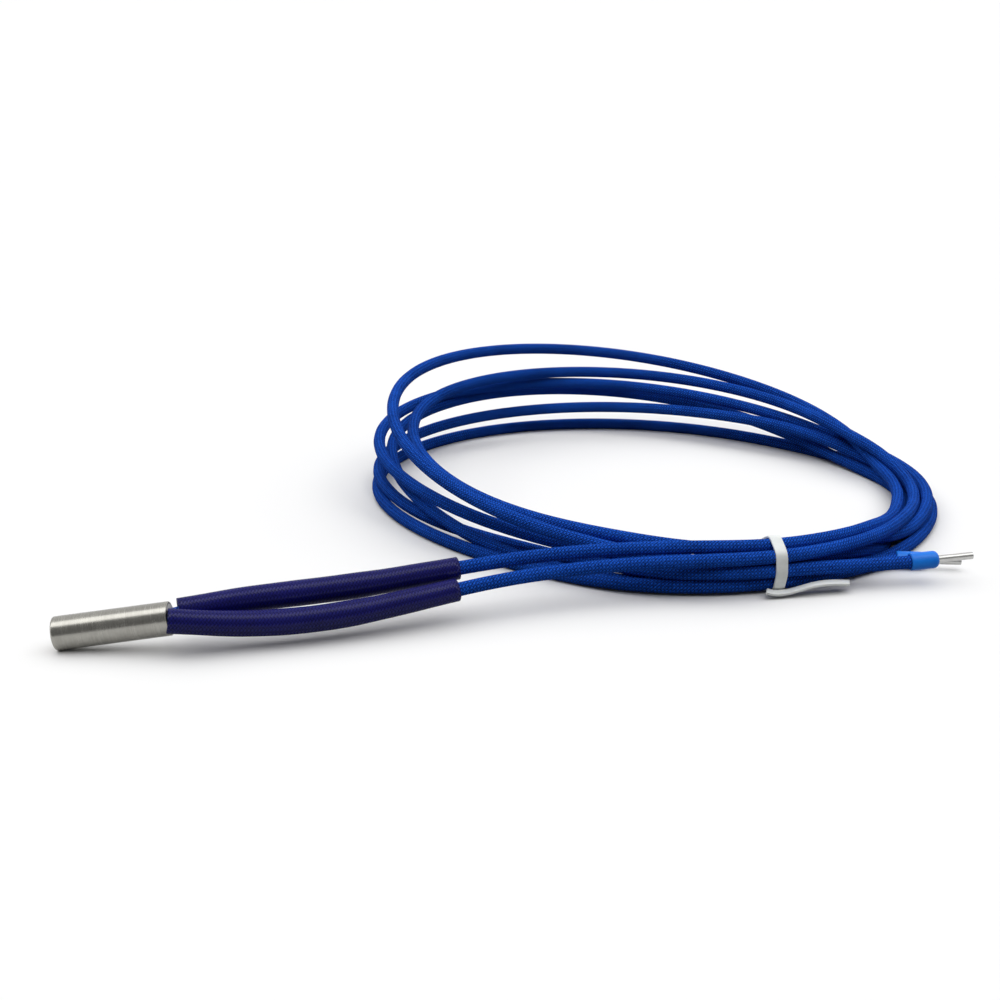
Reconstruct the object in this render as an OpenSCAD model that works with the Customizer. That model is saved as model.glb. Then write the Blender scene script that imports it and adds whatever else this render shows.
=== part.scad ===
// Cartridge heater for a hot end: a ground stainless cartridge with two braided leads.
// The leads are wound together into a coil, held by one strap and ended in ferrules.
// The part lies on the floor (z = 0). X runs along the cartridge, and the origin is
// the bottom centre of the cartridge.

/* [Cartridge] */

// Outside diameter of the sheath
sheath_d = 6; // [4:0.5:10]
// Length of the sheath from the closed end to the lead end
sheath_length = 20.5; // [16:0.5:40]
// Wall of the sheath
sheath_wall = 0.4; // [0.3:0.05:0.6]
// Rounding of the sheath at its closed end
sheath_edge = 0.4; // [0.2:0.05:0.4]
// Break of the sheath's edge at the lead end
rim_break = 0.15; // [0.05:0.05:0.25]
// Slope at which the cartridge lies, closed end down
sheath_tilt = 8; // [0:0.5:12]
// Thickness of the disc welded into the closed end
end_disc_t = 1.2; // [0.8:0.1:2]
// Thickness of the cement seal at the lead end
seal_t = 2.4; // [1.5:0.1:4]

/* [Heating element] */

// Thickness of the packed magnesia between the sheath and the winding
fill_t = 0.55; // [0.4:0.05:0.8]
// Diameter of a terminal pin
pin_d = 0.9; // [0.6:0.05:1]
// Length of the short terminal pin, which ends near the seal
short_pin_length = 8; // [5:0.5:12]
// Diameter of the resistance wire
wire_d = 0.3; // [0.2:0.05:0.35]
// Number of turns of the resistance wire
wire_turns = 13; // [8:1:16]
// Unwound length of the core at each end
wire_margin = 1.2; // [0.8:0.1:2]

/* [Leads] */

// Diameter of a braided lead
lead_d = 2.6; // [2.2:0.1:2.6]
// Outside diameter of the sleeve over a lead
sleeve_d = 4.6; // [4:0.1:4.6]
// Play between a lead and its sleeve, all round
sleeve_play = 0.25; // [0.2:0.05:0.3]
// Radius of the coil at its middle turns
coil_r = 61.5; // [59:0.5:64]

/* [Ferrules] */

// Outside diameter of a ferrule's plastic collar
collar_d = 3.4; // [3.2:0.1:3.6]
// Length of the collar
collar_length = 5.6; // [4.5:0.1:7]
// Length of the collar's tapered nose
collar_nose = 1; // [0.6:0.1:1.5]
// Outside diameter of the metal pin
ferrule_d = 1.4; // [1.1:0.1:1.6]
// Length of the metal pin in front of the collar
ferrule_length = 7; // [6:0.5:10]
// Wall of the metal pin
ferrule_wall = 0.2; // [0.15:0.05:0.3]
// Depth to which the lead goes into the collar
lead_depth = 3; // [2:0.1:3]

/* [Strap] */

// Width of the strap round the bundle
strap_w = 2.3; // [1.8:0.1:3]
// Thickness of the strap
strap_t = 0.5; // [0.4:0.05:0.6]
// Play between the bundle and the strap at its sides
strap_play = 0.3; // [0.25:0.05:0.5]

/* [Hidden] */

// Round parts are drawn as true rounds.
$fn = 48;
// Gap between pieces that are pressed or packed together
fit = 0.03;
// Gap between strands that lie side by side
strand_gap = 0.1;
// Small step that lets a cut run past a face
cut = 0.01;

sheath_r = sheath_d / 2;
bore_r = sheath_r - sheath_wall;
core_length = sheath_length - end_disc_t - seal_t;
// The winding lies inside the magnesia, and the core inside the winding's flat steps
wire_steps = 12;
fill_bore_r = bore_r - fit - fill_t;
wire_r = fill_bore_r - fit - wire_d / 2;
core_r = wire_r * cos(180 / wire_steps) - wire_d / 2 - fit;
// Distance between the two terminal pins
pin_pitch = core_r;
lead_r = lead_d / 2;
strand_pitch = lead_d + strand_gap;
// Distance between the two leads where they leave the cartridge
exit_pitch = lead_d + 4 * strand_gap;
// Height of the axis at the closed end, where the rounded edge touches the floor
axis_z = (sheath_r - sheath_edge) * cos(sheath_tilt) + sheath_edge * (1 - sin(sheath_tilt));
axis = [cos(sheath_tilt), 0, sin(sheath_tilt)];
mouth = [0, 0, axis_z] + axis * sheath_length - [axis[0] * sheath_length / 2, 0, 0];

// The strap: where it holds the bundle, and how the strap and the coil are turned in plan
tie_at = [119, 30.3];
tie_turn = 13;
coil_turn = 19;
outward = [sin(coil_turn), -cos(coil_turn)];
// The eight strands in the strap, in strand pitches in front of its middle and above the lowest one:
// the two runs from the cartridge, the two ends that go on to the ferrules, then four that lie behind
places = [
    [0, 2.52], [0.87, 2.04], [0.87, 1.04], [0.33, 0],
    [-0.96, 2.11], [-0.04, 1.52], [-0.96, 1.07], [-0.7, 0]
];
first_row = strap_t + strand_gap + lead_r;
function row_z(place) = first_row + place[1] * strand_pitch;
function slot(place) = [each tie_at + place[0] * strand_pitch * outward, row_z(place)];

// Slope that lets the lowest turn come down to the floor on its far side
floor_rise = -asin((first_row - lead_r) / (2 * (coil_r + places[3][0] * strand_pitch)));
// The turns of the coil: place in the strap, rise of the far side in degrees,
// and the stretch of the turn, counted in degrees from the strap
turns_a = [[places[4], 5, 18, 361], [places[6], 3.5, 0, 360], [places[2], 0.9, 28, 359]];
turns_b = [[places[5], 4, 18, 361], [places[7], 3.2, 0, 360], [places[3], floor_rise, 28, 359]];
function turn_r(turn) = coil_r + turn[0][0] * strand_pitch;
function in_plan(v) =
    [v[0] * cos(coil_turn) - v[1] * sin(coil_turn), v[0] * sin(coil_turn) + v[1] * cos(coil_turn), v[2]];
function turn_point(turn, angle) =
    let (r = turn_r(turn), inward = r * (1 - cos(angle)))
    slot(turn[0]) + in_plan([r * sin(angle), inward * cos(turn[1]), inward * sin(turn[1])]);
function turn_heading(turn, angle) =
    in_plan([cos(angle), sin(angle) * cos(turn[1]), sin(angle) * sin(turn[1])]);

// Rear lead, from the cartridge to the strap
way_a = [
    [11.3, 2, 6.2], [12.6, 2.8, 6.5], [17.2, 4, 6.9], [22.9, 5.8, 7.2], [31.6, 8.4, 7.5], [40.2, 11.2, 7.7],
    [49, 14.4, 8.2], [60.2, 18.4, 8.8], [64.6, 19.9, 9], [69.9, 21.5, 9.4], [76.9, 23.6, 9.6],
    [85.9, 25.4, 9.7], [94, 26.4, 9.8], [102, 26.9, 9.8], [110.5, 28.2, 9.3]
];
// Front lead, from the cartridge to the strap
way_b = [
    [11.3, -1.8, 5.9], [13, -2.1, 5.9], [17, -1.4, 5.5], [23.6, 0.4, 4.8], [30.2, 2, 4.6], [40.2, 5.2, 4.9],
    [49.2, 9, 5.4], [59.6, 13.8, 6.1], [64.1, 15.7, 6.7], [69.9, 18, 7], [77.9, 20.6, 7.2],
    [85.9, 22.5, 7.6], [94, 24.1, 7.6], [102, 24.6, 7.8], [110.5, 25.8, 7.6]
];
// Last stretch of each lead, from the strap to its ferrule
end_a = [[124, 29.5, 4.6], [129.5, 31, 4.5], [135, 32, 4.4], [140.5, 33.2, 4.3]];
end_b = [[124, 31, 1.9], [129.5, 33.4, 1.8], [135, 37.2, 1.8], [140.5, 41.8, 1.8]];
// Places in each way where the sleeve begins and ends
sleeve_first = [3, 2];
sleeve_last = [9, 9];
// The collar's rear edge and rounded nose, and the funnel at the rear of the metal pin
collar_edge = 0.15;
nose_wall = 0.1;
nose_round = [0:15:75];
flare = 0.4;
funnel_z = lead_depth + strand_gap;
// Ferrules: rear edge of the collar, direction in plan, and rise
ferrule_a = [[145.6, 34.4, 4.3], 9, 3];
ferrule_b = [[145, 43.2, 1.8], -5, 0];

function heading(turn, rise) = [cos(turn) * cos(rise), sin(turn) * cos(rise), sin(rise)];
function exit_point(side) = mouth + [0, side * exit_pitch / 2, 0];
// Straight stub of a lead where it meets a flat end
stub = 0.5;
// Step of a run past the strap, and its straight length before the coil
past_strap = [6, 2.2, 0];
before_coil = 4;
// The run out of the cartridge, through the strap and on to the first turn of the coil
function run(side, way, place, turn) = concat(
    [exit_point(side), exit_point(side) + stub * axis],
    way,
    [slot(place), slot(place) + past_strap],
    [turn_point(turn, turn[2]) - before_coil * turn_heading(turn, turn[2])],
    [turn_point(turn, turn[2]) - stub * turn_heading(turn, turn[2]), turn_point(turn, turn[2])]
);
// The run from the last turn of the coil into the ferrule
function tail(way, turn, ferrule) = concat(
    [turn_point(turn, turn[3]), turn_point(turn, turn[3]) + stub * turn_heading(turn, turn[3])],
    way,
    [ferrule[0], ferrule[0] + lead_depth * heading(ferrule[1], ferrule[2])]
);
run_a = run(1, way_a, places[0], turns_a[0]);
run_b = run(-1, way_b, places[1], turns_b[0]);
function part_of(list, first, last) = [for (i = [first:last]) list[i]];

// Swept shapes
function unit(v) = v / norm(v);
function along(path, i) = unit(path[min(i + 1, len(path) - 1)] - path[max(i - 1, 0)]);
function ring(path, i, r, sides) =
    let (t = along(path, i), across = unit(cross([0, 0, 1], t)), up = cross(t, across))
    [for (k = [0:sides - 1]) path[i] + r * (cos(360 * k / sides) * across + sin(360 * k / sides) * up)];
function skin(rings, sides, base, outside) = [
    for (i = [0:rings - 2], k = [0:sides - 1], half = [0, 1])
        let (
            a = base + i * sides + k,
            b = base + i * sides + (k + 1) % sides,
            face = half == 0 ? [a, a + sides, b] : [b, a + sides, b + sides]
        )
        outside ? face : [face[2], face[1], face[0]]
];

// A solid cord along a path
module cord(path, r, sides = 8) {
    rings = len(path);
    last = (rings - 1) * sides;
    polyhedron(
        [for (i = [0:rings - 1]) each ring(path, i, r, sides)],
        concat(
            skin(rings, sides, 0, true),
            [[for (k = [0:sides - 1]) k]],
            [[for (k = [0:sides - 1]) last + sides - 1 - k]]
        )
    );
}

// A hollow sleeve along a path
module hollow_cord(path, r, bore, sides = 8) {
    rings = len(path);
    inner = rings * sides;
    last = (rings - 1) * sides;
    polyhedron(
        concat(
            [for (i = [0:rings - 1]) each ring(path, i, r, sides)],
            [for (i = [0:rings - 1]) each ring(path, i, bore, sides)]
        ),
        concat(
            skin(rings, sides, 0, true),
            skin(rings, sides, inner, false),
            [for (k = [0:sides - 1], half = [0, 1])
                let (n = (k + 1) % sides)
                half == 0 ? [k, n, inner + k] : [n, inner + n, inner + k]],
            [for (k = [0:sides - 1], half = [0, 1])
                let (n = (k + 1) % sides)
                half == 0 ? [last + k, inner + last + k, last + n]
                    : [last + n, inner + last + k, inner + last + n]]
        )
    );
}

// Puts a shape drawn upright, closed end at z = 0, where the cartridge lies
module in_cartridge() {
    translate([-axis[0] * sheath_length / 2, 0, axis_z])
        rotate([0, 90 - sheath_tilt, 0])
            children();
}

module sheath() {
    color("silver")
        in_cartridge()
            rotate_extrude()
                difference() {
                    union() {
                        translate([0, sheath_edge])
                            square([sheath_r, sheath_length - sheath_edge - rim_break]);
                        square([sheath_r - sheath_edge, sheath_length]);
                        translate([sheath_r - sheath_edge, sheath_edge])
                            circle(sheath_edge);
                        translate([0, sheath_length - rim_break])
                            polygon([[0, -cut], [sheath_r, -cut], [sheath_r, 0],
                                [sheath_r - rim_break, rim_break], [0, rim_break]]);
                    }
                    translate([-cut, -cut])
                        square([bore_r + cut, sheath_length + 2 * cut]);
                }
}

module end_disc() {
    color("gainsboro")
        in_cartridge()
            cylinder(h = end_disc_t, r = bore_r - fit);
}

module ceramic_core() {
    color("white")
        in_cartridge()
            translate([0, 0, end_disc_t])
                difference() {
                    cylinder(h = core_length, r = core_r);
                    for (side = [-1, 1])
                        translate([0, side * pin_pitch / 2, -cut])
                            cylinder(h = core_length + 2 * cut, d = pin_d + 2 * fit);
                }
}

module resistance_wire() {
    wound = core_length - 2 * wire_margin;
    helix = [
        for (i = [0:wire_steps * wire_turns])
            [wire_r * cos(360 * i / wire_steps), wire_r * sin(360 * i / wire_steps),
                end_disc_t + wire_margin + wound * i / (wire_steps * wire_turns)]
    ];
    color("dimgray")
        in_cartridge()
            cord(helix, wire_d / 2, 6);
}

module magnesia_fill() {
    color("ivory")
        in_cartridge()
            translate([0, 0, end_disc_t])
                difference() {
                    cylinder(h = core_length, r = bore_r - fit);
                    translate([0, 0, -cut])
                        cylinder(h = core_length + 2 * cut, r = fill_bore_r);
                }
}

// A terminal pin: its tip is flush with the seal, where the lead's end meets it
module terminal_pin(side, length) {
    color("lightgray")
        in_cartridge()
            translate([0, side * pin_pitch / 2, sheath_length - length])
                cylinder(h = length, d = pin_d);
}

module long_terminal_pin() {
    terminal_pin(1, seal_t + core_length - fit);
}

module short_terminal_pin() {
    terminal_pin(-1, short_pin_length);
}

module lead_seal() {
    color("whitesmoke")
        in_cartridge()
            translate([0, 0, sheath_length - seal_t])
                difference() {
                    cylinder(h = seal_t, r = bore_r - fit);
                    for (side = [-1, 1])
                        translate([0, side * pin_pitch / 2, -cut])
                            cylinder(h = seal_t + 2 * cut, d = pin_d + 2 * fit);
                }
}

module sleeve(path, first, last) {
    color("midnightblue")
        hollow_cord(part_of(path, first, last), sleeve_d / 2, lead_r + sleeve_play);
}

module rear_sleeve() {
    sleeve(run_a, sleeve_first[0], sleeve_last[0]);
}

module front_sleeve() {
    sleeve(run_b, sleeve_first[1], sleeve_last[1]);
}

module rear_lead() {
    color("mediumblue")
        cord(run_a, lead_r);
}

module front_lead() {
    color("mediumblue")
        cord(run_b, lead_r);
}

// One turn of the coil: it swings up about the line that it follows through the strap
module coil_turn_ring(turn) {
    r = turn_r(turn);
    translate(slot(turn[0]))
        rotate([0, 0, coil_turn])
            rotate([turn[1], 0, 0])
                translate([0, r, 0])
                    rotate([0, 0, turn[2] - 90])
                        rotate_extrude(angle = turn[3] - turn[2], $fn = 96)
                            translate([r, 0])
                                circle(lead_r);
}

module rear_lead_coil() {
    color("mediumblue")
        for (turn = turns_a)
            coil_turn_ring(turn);
}

module front_lead_coil() {
    color("mediumblue")
        for (turn = turns_b)
            coil_turn_ring(turn);
}

module rear_lead_tail() {
    color("mediumblue")
        cord(tail(end_a, turns_a[2], ferrule_a), lead_r);
}

module front_lead_tail() {
    color("mediumblue")
        cord(tail(end_b, turns_b[2], ferrule_b), lead_r);
}

// Puts a shape drawn upright, collar's rear edge at z = 0, where a ferrule lies
module at_ferrule(ferrule) {
    translate(ferrule[0])
        rotate([0, 90 - ferrule[2], ferrule[1]])
            children();
}

// The plastic collar: a bore for the lead, a cone for the pin's funnel and a tapered nose
module collar(ferrule) {
    r = collar_d / 2;
    pin_r = ferrule_d / 2 + fit;
    tip_r = pin_r + nose_wall;
    shoulder = collar_length - collar_nose;
    color("dodgerblue")
        at_ferrule(ferrule)
            rotate_extrude()
                difference() {
                    polygon(concat(
                        [[0, 0], [r - collar_edge, 0], [r, collar_edge]],
                        [for (a = nose_round) [tip_r + (r - tip_r) * cos(a), shoulder + collar_nose * sin(a)]],
                        [[tip_r, collar_length], [0, collar_length]]
                    ));
                    polygon([
                        [-cut, -cut], [lead_r + strand_gap, -cut], [lead_r + strand_gap, funnel_z],
                        [pin_r + flare, funnel_z], [pin_r, collar_length], [pin_r, collar_length + cut],
                        [-cut, collar_length + cut]
                    ]);
                }
}

// The metal pin: a thin tube with a funnel where the strands go in
module ferrule(ferrule) {
    r = ferrule_d / 2;
    tip = collar_length + ferrule_length;
    color("silver")
        at_ferrule(ferrule)
            rotate_extrude()
                polygon([
                    [r + flare - ferrule_wall, funnel_z], [r + flare, funnel_z], [r, collar_length], [r, tip],
                    [r - ferrule_wall, tip], [r - ferrule_wall, collar_length]
                ]);
}

module rear_lead_collar() {
    collar(ferrule_a);
}

module front_lead_collar() {
    collar(ferrule_b);
}

module rear_lead_ferrule() {
    ferrule(ferrule_a);
}

module front_lead_ferrule() {
    ferrule(ferrule_b);
}

// The strap's tail, seen from the side: flat under the bundle, then up and over in two bends
bend_r = 12;
bend_rise = 25;
bend_over = 45;
bend_steps = 12;
function bend_up(r, angle) = [strap_w / 2 + r * sin(angle), bend_r + strap_t / 2 - r * cos(angle)];
function bend_down(r, angle) =
    bend_up(bend_r, bend_rise) + bend_r * [sin(bend_rise), -cos(bend_rise)] - r * [sin(angle), -cos(angle)];
function tail_edge(side) = concat(
    [[-strap_w / 2, strap_t / 2 + side * strap_t / 2]],
    [for (i = [0:bend_steps]) bend_up(bend_r - side * strap_t / 2, bend_rise * i / bend_steps)],
    [for (i = [1:bend_steps])
        bend_down(bend_r + side * strap_t / 2, bend_rise - bend_over * i / bend_steps)]
);
function reversed(list) = [for (i = [len(list) - 1:-1:0]) list[i]];

// Outline round the eight strands as the strap sees them, with more room at the sides
module round_bundle(margin) {
    hull()
        for (place = places, side = [-1, 1])
            translate([side * (strap_play - strand_gap) - place[0] * strand_pitch, row_z(place)])
                circle(lead_r + margin);
}

// The strap: a tight loop round the eight strands, and a tail that bends up off the floor
module bundle_strap() {
    tail_y = -strand_pitch;
    color("white")
        translate([tie_at[0], tie_at[1], 0])
            rotate([0, 0, tie_turn]) {
                translate([-strap_w / 2, 0, 0])
                    rotate([90, 0, 90])
                        linear_extrude(strap_w)
                            difference() {
                                round_bundle(strand_gap + strap_t);
                                round_bundle(strand_gap);
                            }
                translate([-strap_w / 2, tail_y - strap_w, 0])
                    cube([strap_w, strap_w - tail_y, strap_t]);
                translate([0, tail_y, 0])
                    rotate([90, 0, 0])
                        linear_extrude(strap_w)
                            polygon(concat(tail_edge(-1), reversed(tail_edge(1))));
            }
}

sheath();
end_disc();
ceramic_core();
resistance_wire();
magnesia_fill();
long_terminal_pin();
short_terminal_pin();
lead_seal();
rear_sleeve();
front_sleeve();
rear_lead();
front_lead();
rear_lead_coil();
front_lead_coil();
rear_lead_tail();
front_lead_tail();
rear_lead_collar();
front_lead_collar();
rear_lead_ferrule();
front_lead_ferrule();
bundle_strap();
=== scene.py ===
"""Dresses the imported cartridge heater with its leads, sleeves, strap, finishes, light and camera.

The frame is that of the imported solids, in metres: +X along the cartridge, +Z up. The coil, the leads and the
strap are laid out in millimetres and degrees, as in the part's source.
"""

import logging
import math
from dataclasses import dataclass, field
from enum import Enum
from typing import Any, Optional, Sequence, Union

import bpy
import numpy as np
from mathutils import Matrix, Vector


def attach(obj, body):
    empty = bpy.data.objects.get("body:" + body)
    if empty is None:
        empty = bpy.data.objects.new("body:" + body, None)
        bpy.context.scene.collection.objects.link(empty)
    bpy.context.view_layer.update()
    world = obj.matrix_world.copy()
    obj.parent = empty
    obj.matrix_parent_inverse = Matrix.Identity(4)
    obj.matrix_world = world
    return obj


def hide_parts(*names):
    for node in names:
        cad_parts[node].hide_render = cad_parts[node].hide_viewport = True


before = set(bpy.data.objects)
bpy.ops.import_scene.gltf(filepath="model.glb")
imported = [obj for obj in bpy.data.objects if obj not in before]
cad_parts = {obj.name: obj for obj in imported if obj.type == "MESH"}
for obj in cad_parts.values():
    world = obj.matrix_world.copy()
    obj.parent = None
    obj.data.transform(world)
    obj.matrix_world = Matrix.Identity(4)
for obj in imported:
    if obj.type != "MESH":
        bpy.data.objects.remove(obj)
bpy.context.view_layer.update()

LOG = logging.getLogger("cartridge_heater")
MM = 0.001
ROOT = "root"
LEAD_D = 2.6
STRAP_AT = (119.0, 30.3)
Pair = tuple[float, float]
Triple = tuple[float, float, float]
Colour = Triple
Number = Union[float, "Sock"]
Inputs = dict[Union[str, int], Any]
WHITE: Colour = (1.0, 1.0, 1.0)
BLACK: Colour = (0.0, 0.0, 0.0)
NO_TURN: Triple = (0.0, 0.0, 0.0)
TINY = 1e-6
# The Mix node has one set of sockets for each kind of value, and these are its colour sockets.
MIX_FIRST, MIX_SECOND, MIX_RESULT = 6, 7, 2


class Sock:
    """A shader socket that takes part in arithmetic and adds Math nodes as it goes."""

    def __init__(self, nodes: "Nodes", socket: bpy.types.NodeSocket) -> None:
        """Wraps one output socket of a node tree."""
        self.nodes = nodes
        self.socket = socket

    def math(self, operation: str, *others: Number) -> "Sock":
        """Adds one Math node.

        Args:
            operation: The Math node's operation.
            others: The node's second and third values, sockets or numbers.

        Returns:
            The node's value.
        """
        values = dict(enumerate((self, *others)))
        return self.nodes.value("ShaderNodeMath", values, operation=operation)

    def __add__(self, other: Number) -> "Sock":
        """The sum."""
        return self.math("ADD", other)

    __radd__ = __add__

    def __sub__(self, other: Number) -> "Sock":
        """The difference."""
        return self.math("SUBTRACT", other)

    def __rsub__(self, other: float) -> "Sock":
        """A number less this value."""
        return (self * -1.0).math("ADD", other)

    def __mul__(self, other: Number) -> "Sock":
        """The product."""
        return self.math("MULTIPLY", other)

    __rmul__ = __mul__

    def __abs__(self) -> "Sock":
        """The value without its sign."""
        return self.math("ABSOLUTE")

    def __gt__(self, other: Number) -> "Sock":
        """One where the value is the larger."""
        return self.math("GREATER_THAN", other)

    def sine(self) -> "Sock":
        """The sine of the value."""
        return self.math("SINE")

    def smooth(self, low: float, high: float) -> "Sock":
        """A smooth step from 0 to 1.

        Args:
            low: The value at which the step starts.
            high: The value at which it ends.

        Returns:
            The step's height.
        """
        values = {"Value": self, "From Min": low, "From Max": high}
        return self.nodes.value("ShaderNodeMapRange", values, interpolation_type="SMOOTHSTEP")


class Nodes:
    """A node tree that is filled one node at a time."""

    def __init__(self, tree: bpy.types.NodeTree) -> None:
        """Empties the tree that it fills."""
        self.tree = tree
        self.tree.nodes.clear()

    def node(self, kind: str, values: Optional[Inputs] = None, **settings: Any) -> bpy.types.Node:
        """Adds any node.

        Args:
            kind: The node's type.
            values: Values or links by socket name or number.
            settings: The node's own settings, which are set first.

        Returns:
            The node.
        """
        node = self.tree.nodes.new(kind)
        for name, setting in settings.items():
            setattr(node, name, setting)
        for key, value in (values or {}).items():
            target = node.inputs[key]
            if isinstance(value, Sock):
                self.tree.links.new(value.socket, target)
            elif isinstance(value, tuple) and len(value) == 3 and len(target.default_value) == 4:
                target.default_value = (*value, 1.0)
            else:
                target.default_value = value
        return node

    def value(
        self, kind: str, values: Optional[Inputs] = None, out: Union[str, int] = 0, **settings: Any
    ) -> Sock:
        """Adds a node and gives one of its outputs.

        Args:
            kind: The node's type.
            values: Values or links by socket name or number.
            out: The output's name or number.
            settings: The node's own settings.

        Returns:
            The output.
        """
        return Sock(self, self.node(kind, values, **settings).outputs[out])

    def ray(self, kind: str) -> Sock:
        """One for rays of a kind, such as Camera, and 0 for all others."""
        return self.value("ShaderNodeLightPath", out=f"Is {kind} Ray")


class Shader(Nodes):
    """A node material with one principled surface."""

    def __init__(self, name: str) -> None:
        """Makes an empty material.

        Args:
            name: The material's name.
        """
        self.material = bpy.data.materials.new(name)
        self.material.use_nodes = True
        super().__init__(self.material.node_tree)

    def place(self, size: Triple, turn: Triple = NO_TURN) -> Sock:
        """Object coordinates, turned and divided by a pattern's size.

        Args:
            size: The pattern's size along each of its own axes.
            turn: The turn of the pattern's axes, in radians.

        Returns:
            The coordinates.
        """
        source = self.value("ShaderNodeTexCoord", out="Object")
        values = {"Vector": source, "Rotation": turn, "Scale": size}
        return self.value("ShaderNodeMapping", values, vector_type="TEXTURE")

    def noise(self, place: Sock, detail: float = 2.0, roughness: float = 0.5) -> Sock:
        """Noise about one unit across.

        Args:
            place: The coordinates that it reads.
            detail: The number of finer layers.
            roughness: The weight of the finer layers.

        Returns:
            A value from 0 to 1.
        """
        values = {"Vector": place, "Scale": 1.0, "Detail": detail, "Roughness": roughness}
        return self.value("ShaderNodeTexNoise", values)

    def mix(self, factor: Sock, first: Colour, second: Colour) -> Sock:
        """Mixes two colours.

        Args:
            factor: The share of the second colour.
            first: The colour at 0.
            second: The colour at 1.

        Returns:
            The mixed colour.
        """
        values = {"Factor": factor, MIX_FIRST: first, MIX_SECOND: second}
        return self.value("ShaderNodeMix", values, out=MIX_RESULT, data_type="RGBA")

    def bump(self, height: Sock, depth: float, strength: float = 1.0) -> Sock:
        """A normal bent by a height.

        Args:
            height: The height, from 0 to 1.
            depth: The depth of the relief.
            strength: The share of the relief that shows.

        Returns:
            The normal.
        """
        values = {"Height": height, "Distance": depth, "Strength": strength}
        return self.value("ShaderNodeBump", values, out="Normal")

    def surface(self, **values: Any) -> bpy.types.Material:
        """Closes the material.

        Args:
            values: The principled surface's sockets, with underscores for spaces.

        Returns:
            The finished material.
        """
        named = {name.replace("_", " "): value for name, value in values.items()}
        shader = self.value("ShaderNodeBsdfPrincipled", named)
        self.node("ShaderNodeOutputMaterial", {"Surface": shader})
        return self.material


@dataclass(frozen=True)
class BraidFinish:
    """A round braid of fine yarns, on a UV map that is 0 to 1 round the cord and in yarns along it, with
    painted shade between the yarns and painted light on the yarns of one family.
    """

    name: str
    yarns: int
    deep: Colour
    high: Colour
    roughness: float
    gloss: float
    coat: float
    relief: float
    filaments: int = 3
    filament_light: float = 0.12
    fuzz_size: float = 0.42 * MM
    fuzz_light: float = 1.1
    patch_size: float = 9 * MM
    patch_light: float = 0.4
    # Painted shade and light: the crevices between yarn crowns are painted dark, and the yarns of one family
    # are painted lighter than the other.
    painted_crevice_shade: float = 0.45
    painted_over_yarn_light: float = 0.35
    dimmed: float = 0.7
    coat_roughness: float = 0.16

    def material(self) -> bpy.types.Material:
        """The braid as a material."""
        shader = Shader(self.name)
        source = shader.value("ShaderNodeTexCoord", out="UV")
        split = shader.node("ShaderNodeSeparateXYZ", {"Vector": source})
        around = Sock(shader, split.outputs["X"]) * float(self.yarns)
        along = Sock(shader, split.outputs["Y"])
        left = (around + along) * math.pi
        right = (around - along) * math.pi
        left_yarn, right_yarn = left.sine(), right.sine()
        over = (left_yarn * right_yarn) > 0.0
        crown = over * abs(left_yarn) + (1.0 - over) * abs(right_yarn)
        left_fine, right_fine = ((yarn * float(self.filaments)).sine() for yarn in (left, right))
        fine = over * abs(left_fine) + (1.0 - over) * abs(right_fine)
        patch = shader.noise(shader.place((self.patch_size,) * 3), 2.0)
        fuzz = shader.noise(shader.place((self.fuzz_size,) * 3), 3.0, 0.7)
        # Painted shade between the yarn crowns and painted light on one family of yarns; fine filaments, fuzz
        # and patches add the braid's own uneven tone.
        yarns = crown.smooth(0.2, 1.0) * (self.painted_crevice_shade + self.painted_over_yarn_light * over)
        light = yarns + fine * self.filament_light + fuzz * self.fuzz_light + patch * self.patch_light
        height = crown * 0.8 + fine * 0.2
        return shader.surface(
            Base_Color=shader.mix((light - self.dimmed).smooth(-0.1, 1.1), self.deep, self.high),
            Roughness=self.roughness + 0.12 * fuzz - 0.08 * crown,
            Normal=shader.bump(height, self.relief),
            Coat_Weight=self.coat * crown.smooth(0.75, 1.0),
            Coat_Roughness=self.coat_roughness,
            Specular_IOR_Level=self.gloss,
        )


@dataclass(frozen=True)
class MetalFinish:
    """A metal with fine marks that run across a given direction."""

    name: str
    deep: Colour
    high: Colour
    roughness: float
    spread: float
    mark: Triple
    turn: Triple = NO_TURN
    relief: float = 0.0

    def material(self) -> bpy.types.Material:
        """The metal as a material."""
        shader = Shader(self.name)
        marks = shader.noise(shader.place(self.mark, self.turn), 4.0, 0.65)
        cloud = shader.noise(shader.place((2.5 * MM,) * 3), 3.0)
        tone = (marks * 0.7 + cloud * 0.5 - 0.1).smooth(0.2, 0.8)
        return shader.surface(
            Base_Color=shader.mix(tone, self.deep, self.high),
            Metallic=1.0,
            Roughness=self.roughness + self.spread * marks + 0.5 * self.spread * cloud,
            Normal=shader.bump(marks, self.relief, 0.5),
        )


@dataclass(frozen=True)
class PlasticFinish:
    """A moulded plastic with faint flow marks and scuffs."""

    name: str
    deep: Colour
    high: Colour
    roughness: float
    gloss: float
    soft: float

    def material(self) -> bpy.types.Material:
        """The plastic as a material."""
        shader = Shader(self.name)
        flow = shader.noise(shader.place((4 * MM, 1.6 * MM, 1.6 * MM)), 3.0)
        scuff = shader.noise(shader.place((0.35 * MM,) * 3), 4.0, 0.7)
        tone = (flow * 0.8 + scuff * 0.35 - 0.1).smooth(0.15, 0.85)
        return shader.surface(
            Base_Color=shader.mix(tone, self.deep, self.high),
            Roughness=self.roughness + 0.14 * scuff + 0.06 * flow,
            Normal=shader.bump(scuff * 0.6 + flow * 0.4, 0.03 * MM, 0.4),
            Specular_IOR_Level=self.gloss,
            Subsurface_Weight=self.soft,
            Subsurface_Radius=(1.2 * MM, 1.2 * MM, 1.6 * MM),
        )


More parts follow.
